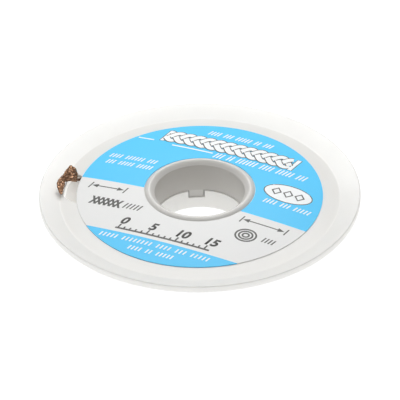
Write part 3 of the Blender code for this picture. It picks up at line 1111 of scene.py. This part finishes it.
def end_route(case, outlet, sizes):
    """Stations of the free end: place, half width, and tilt and yaw of its width in degrees."""
    surface = dome(case, outlet.inner_radius)
    window = outlet.inner_radius + outlet.width / 2
    beside_coil = sizes.coil_radius + 0.00055
    upright = sizes.coil_bottom + sizes.width / 2 + 0.0003
    stops = [(beside_coil, 145.0, upright, 0.9, 90.0, 0.0), (beside_coil, 151.0, upright, 0.8, 80.0, 0.0)]
    for reach, azimuth, rise, half, tilt, yaw in (
            (0.10, 157.0, -2.40, 0.42, 50.0, -25.0), (0.35, 160.5, -1.70, 0.36, 15.0, -20.0),
            (0.32, 162.3, -1.25, 0.38, 0.0, -18.0), (0.30, 164.1, -0.95, 0.42, 0.0, -16.0),
            (0.20, 164.9, -0.28, 0.52, 0.0, -16.0), (0.27, 165.4, 0.36, 0.78, -4.0, -16.0),
            (0.37, 165.0, 1.03, 0.70, -6.0, -10.0), (0.28, 165.1, 1.85, 0.52, -25.0, -25.0),
            (0.27, 168.2, 1.78, 0.77, -35.0, -13.0), (0.48, 170.4, 1.57, 0.85, -39.0, -21.0),
            (0.94, 171.7, 1.46, 0.60, -42.0, -3.0), (1.33, 172.8, 1.31, 0.50, -31.0, 15.0),
            (1.50, 174.7, 1.03, 0.62, -16.0, 14.0), (1.50, 176.5, 0.74, 0.47, -16.0, 11.0),
            (1.44, 177.9, 0.48, 0.28, -17.0, 20.0), (1.32, 179.4, 0.30, 0.10, -9.0, 11.0)):
        stops.append((window + reach * MM, azimuth, surface + rise * MM, half, tilt, yaw))
    return [(*polar(radius, math.radians(azimuth), height), half * MM, tilt, yaw)
            for radius, azimuth, height, half, tilt, yaw in stops]


def smooth(stops, part):
    """Values on a Catmull-Rom curve through the stops."""
    last = len(stops) - 1
    spot = part * last
    index = min(int(spot), last - 1)
    t = spot - index
    before, start, end, after = (stops[min(max(index + step, 0), last)] for step in (-1, 0, 1, 2))
    return [b + 0.5 * t * (c - a + t * (2 * a - 5 * b + 4 * c - d + t * (3 * (b - c) + d - a)))
            for a, b, c, d in zip(before, start, end, after)]


def stations(stops, count):
    """Frames at equal steps along the free end: place, across, up, half width and length so far."""
    places = [Vector(smooth(stops, part)[:3]) for part in between(0.0, 1.0, ROUTE_STEPS)]
    lengths = [0.0]
    for first, second in zip(places, places[1:]):
        lengths.append(lengths[-1] + (second - first).length)
    frames = []
    index = 0
    for target in between(0.0, lengths[-1], count):
        while index < ROUTE_STEPS - 1 and lengths[index + 1] < target:
            index += 1
        part = (index + (target - lengths[index]) / (lengths[index + 1] - lengths[index])) / ROUTE_STEPS
        x, y, z, half, tilt, yaw = smooth(stops, min(part, 1.0))
        ahead = Vector(smooth(stops, min(1.0, part + ROUTE_NEAR))[:3])
        behind = Vector(smooth(stops, max(0.0, part - ROUTE_NEAR))[:3])
        along = (ahead - behind).normalized()
        tilt, yaw = math.radians(tilt), math.radians(yaw)
        wide = Vector((math.cos(tilt) * math.cos(yaw), math.sin(yaw) * math.cos(tilt), math.sin(tilt)))
        wide = (wide - along * wide.dot(along)).normalized()
        frames.append((Vector((x, y, z)), wide, along.cross(wide), half, target))
    return frames


def racetrack(part, half, thick):
    """Point and outward direction on a flat round-ended section, by its share of the way round."""
    side = max(half - thick, 0.0) * 2
    around = math.pi * thick
    walked = (part % 1.0) * 2 * (side + around)
    if walked < side:
        return Vector((walked - side / 2, thick)), Vector((0.0, 1.0))
    if walked < side + around:
        angle = math.pi / 2 - (walked - side) / thick
        way = Vector((math.cos(angle), math.sin(angle)))
        return Vector((side / 2, 0.0)) + way * thick, way
    if walked < 2 * side + around:
        return Vector((side / 2 - (walked - side - around), -thick)), Vector((0.0, -1.0))
    angle = -math.pi / 2 - (walked - 2 * side - around) / thick
    way = Vector((math.cos(angle), math.sin(angle)))
    return Vector((-side / 2, 0.0)) + way * thick, way


def mark_crowns(thing, frames, thick, reach):
    """Store how far each point stands out of the weave: 0 in the dips, 1 on the crowns."""
    tree = KDTree(len(frames))
    for index, (place, *_) in enumerate(frames):
        tree.insert(place, index)
    tree.balance()
    layer = thing.data.attributes.new("crown", "FLOAT", "POINT")
    for vert in thing.data.vertices:
        place, wide, up, half, _ = frames[tree.find(vert.co)[1]]
        offset = vert.co - place
        beyond = max(abs(offset.dot(wide)) - half + thick, 0.0)
        out = math.hypot(beyond, offset.dot(up)) - min(thick, SLIMMEST * half)
        layer.data[vert.index].value = min(max(0.5 + CROWN_RISE * out / reach, 0.0), 1.0)


class BOBBIN_OT_braid_end(bpy.types.Operator):
    """Weave the braid's free end, which comes up through the outlet and folds over"""

    bl_idname = "bobbin.braid_end"
    bl_label = "Braid Free End"

    def execute(self, context):
        scene = context.scene
        sizes = scene.bobbin_braid
        frames = stations(end_route(scene.bobbin_case, scene.bobbin_outlet, sizes), END_STATIONS)
        draw = random.Random(7)
        thick = sizes.end_thickness / 2 - sizes.wire / 2 - UNDULATION
        curve = bpy.data.curves.new("braid_woven_end", "CURVE")
        curve.dimensions = "3D"
        curve.bevel_depth = sizes.wire / 2
        curve.bevel_resolution = 1
        curve.use_fill_caps = True
        for way in (1, -1):
            for carrier in range(CARRIERS):
                for wire in range(STRAND_WIRES):
                    beside = (wire - (STRAND_WIRES - 1) / 2) / (CARRIERS * (STRAND_WIRES + STRAND_GAP))
                    stop = END_STATIONS - draw.choice(FRAY)
                    line = curve.splines.new("POLY")
                    line.points.add(stop)
                    for index in range(stop + 1):
                        place, wide, up, half, walked = frames[index]
                        turns = walked / sizes.lay
                        crossing = 2 * carrier + way * 2 * CARRIERS * turns
                        lift = way * UNDULATION * math.sin(math.pi * crossing / 2 + math.pi / 4)
                        spot, out = racetrack(carrier / CARRIERS + beside + way * turns, half,
                                              min(thick, SLIMMEST * half))
                        spot = spot + out * lift
                        point = place + wide * spot.x + up * spot.y
                        line.points[index].co = (*point, 1.0)
        thing = bpy.data.objects.new("braid_woven_end", curve)
        scene.collection.objects.link(thing)
        pick(thing)
        bpy.ops.object.convert(target="MESH")
        thing = context.object
        edit(thing)
        tidy(thing)
        mark_crowns(thing, frames, thick, UNDULATION + sizes.wire / 2)
        dressed(thing, copper_look(scene.bobbin_colours), "copper_braid", "braid_end")
        return {"FINISHED"}


# Stage

CAMERA_PLACE = (0.0, -0.3279, 0.2368)
CAMERA_ELEVATION = 34.94
CAMERA_ROLL = -0.89
CAMERA_LENS = 221.5
CAMERA_SHIFT = (0.0005, -0.0145)
FLOOR_SIZE = 6.0
FLOOR_DROP = 0.00002        # the floor lies this far below the foot
FLOOR_GLOW = 0.98
WORLD_LIGHT = 0.38
LAMPS = (
    # place, size and power
    ((0.0, 0.0, 0.60), 0.50, 0.8),
    ((0.0, 0.13, 0.16), 0.12, 0.23),
    ((-0.28, 0.0, 0.32), 0.15, 0.12),
)


class BOBBIN_OT_stage(bpy.types.Operator):
    """Lay the floor and set up the lights and the camera"""

    bl_idname = "bobbin.stage"
    bl_label = "Stage"

    def execute(self, context):
        scene = context.scene
        deselect()
        bpy.ops.mesh.primitive_plane_add(size=FLOOR_SIZE, location=(0.0, 0.0, -FLOOR_DROP))
        floor = bpy.context.object
        floor.name = "stage_floor"
        floor.data.materials.append(floor_look(scene.bobbin_colours))
        world = bpy.data.worlds.new("soft_studio")
        world.use_nodes = True
        sky = world.node_tree.nodes["Background"]
        sky.inputs["Color"].default_value = (1.0, 1.0, 1.0, 1.0)
        sky.inputs["Strength"].default_value = WORLD_LIGHT
        scene.world = world
        for index, (place, size, power) in enumerate(LAMPS):
            lamp = bpy.data.lights.new(f"softbox_{index}", "AREA")
            lamp.size = size
            lamp.energy = power
            holder = bpy.data.objects.new(lamp.name, lamp)
            holder.location = place
            holder.rotation_euler = (-Vector(place)).to_track_quat("-Z", "Y").to_euler()
            scene.collection.objects.link(holder)
        camera = bpy.data.objects.new("camera", bpy.data.cameras.new("camera"))
        camera.data.lens = CAMERA_LENS
        camera.data.shift_x, camera.data.shift_y = CAMERA_SHIFT
        camera.data.clip_start, camera.data.clip_end = 0.01, 20.0
        aim = Matrix.Rotation(math.radians(90.0 - CAMERA_ELEVATION), 4, "X")
        aim = aim @ Matrix.Rotation(math.radians(CAMERA_ROLL), 4, "Z")
        camera.matrix_world = Matrix.Translation(CAMERA_PLACE) @ aim
        scene.collection.objects.link(camera)
        scene.camera = camera
        scene.view_settings.view_transform = "Standard"
        return {"FINISHED"}


class BOBBIN_PT_panel(bpy.types.Panel):
    """Steps that build the bobbin"""

    bl_idname = "BOBBIN_PT_panel"
    bl_label = "Desoldering Braid"
    bl_space_type = "VIEW_3D"
    bl_region_type = "UI"
    bl_category = "Bobbin"

    def draw(self, context):
        layout = self.layout
        for step in STEPS:
            layout.operator(step.bl_idname)
        for name, group in GROUPS.items():
            box = layout.box()
            box.label(text=group.__doc__)
            for key in group.__annotations__:
                box.prop(getattr(context.scene, name), key)


STEPS = (BOBBIN_OT_case_top, BOBBIN_OT_case_base, BOBBIN_OT_label, BOBBIN_OT_label_print,
         BOBBIN_OT_braid_coil, BOBBIN_OT_braid_end, BOBBIN_OT_stage)
GROUPS = {"bobbin_case": CaseSizes, "bobbin_outlet": OutletSizes, "bobbin_label": LabelSizes,
          "bobbin_braid": BraidSizes, "bobbin_colours": CaseColours}


def register():
    """Add the steps, the panel and the scene's values."""
    for group in GROUPS.values():
        bpy.utils.register_class(group)
    for step in STEPS + (BOBBIN_PT_panel,):
        bpy.utils.register_class(step)
    for name, group in GROUPS.items():
        setattr(bpy.types.Scene, name, bpy.props.PointerProperty(type=group))


def unregister():
    """Take them out again."""
    for name in GROUPS:
        delattr(bpy.types.Scene, name)
    for step in (BOBBIN_PT_panel,) + tuple(reversed(STEPS)):
        bpy.utils.unregister_class(step)
    for group in GROUPS.values():
        bpy.utils.unregister_class(group)


def main():
    """Build every piece and the stage."""
    register()
    bpy.ops.bobbin.case_top()
    bpy.ops.bobbin.case_base()
    bpy.ops.bobbin.label()
    bpy.ops.bobbin.label_print()
    bpy.ops.bobbin.braid_coil()
    bpy.ops.bobbin.braid_end()
    bpy.ops.bobbin.stage()


if __name__ == "__main__":
    main()
